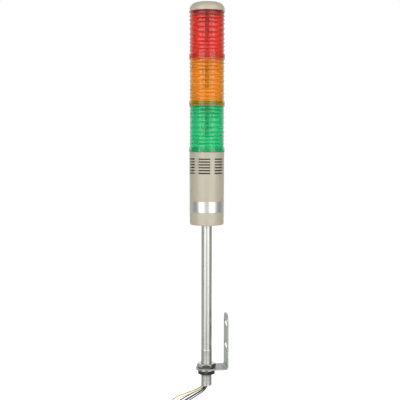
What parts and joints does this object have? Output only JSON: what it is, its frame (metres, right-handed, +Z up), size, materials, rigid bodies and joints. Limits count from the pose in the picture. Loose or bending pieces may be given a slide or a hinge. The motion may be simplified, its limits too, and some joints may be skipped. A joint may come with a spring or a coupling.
{
  "type": "stack light",
  "caption": "Three-tier machine signal light with a slotted buzzer housing, on a tube mast clamped in a slotted wall bracket, with six loose leads.",
  "frame": {"origin": "on the bracket's wall face, midway between its two slots", "axes": "+Z up along the mast towards the cap, +X out of the bracket into the wall, +Y along the wall"},
  "size_m": [0.0933, 0.0508, 0.6403],
  "materials": {
    "cap_plastic": "satin moulded",
    "housing_plastic": "satin moulded",
    "red_clear_plastic": "clear tinted",
    "amber_clear_plastic": "clear tinted",
    "green_clear_plastic": "clear tinted",
    "white_plastic": "moulded",
    "circuit_board": "solder mask",
    "led_package": "moulded",
    "blank_foil": "satin foil",
    "buzzer_plastic": "moulded",
    "mast_steel": "polished",
    "nut_steel": "bright plated",
    "bracket_steel": "zinc plated",
    "yellow_insulation": "soft",
    "white_insulation": "soft",
    "red_insulation": "soft",
    "black_insulation": "soft",
    "grey_insulation": "soft",
    "green_insulation": "soft",
    "tie_plastic": "moulded"
  },
  "bodies": {
    "bracket": {"mounting_bracket": "bracket_steel"},
    "mast": {"mast_tube": "mast_steel", "upper_nut": "nut_steel", "lower_nut": "nut_steel", "flat_washer": "nut_steel", "lock_nut": "nut_steel", "base_housing": "housing_plastic", "data_label": "blank_foil", "buzzer_housing": "housing_plastic", "buzzer_board": "circuit_board", "buzzer": "buzzer_plastic", "top_cap": "cap_plastic", "inner_leads": "black_insulation", "wire_coil": "grey_insulation", "wire_tie": "tie_plastic", "green_lens": "green_clear_plastic", "green_carrier": "white_plastic", "green_led_board": "circuit_board", "green_leds": "led_package", "amber_lens": "amber_clear_plastic", "amber_carrier": "white_plastic", "amber_led_board": "circuit_board", "amber_leds": "led_package", "red_lens": "red_clear_plastic", "red_carrier": "white_plastic", "red_led_board": "circuit_board", "red_leds": "led_package", "yellow_wire": "yellow_insulation", "white_wire": "white_insulation", "red_wire": "red_insulation", "black_wire": "black_insulation", "grey_wire": "grey_insulation", "green_wire": "green_insulation"}
  },
  "joints": [
    {"name": "mast_swivel", "type": "hinge", "parent": "bracket", "child": "mast", "pos_m": [-0.03, 0, -0.049], "axis": [0, 0, 1], "range_deg": [-180, 180]}
  ]
}
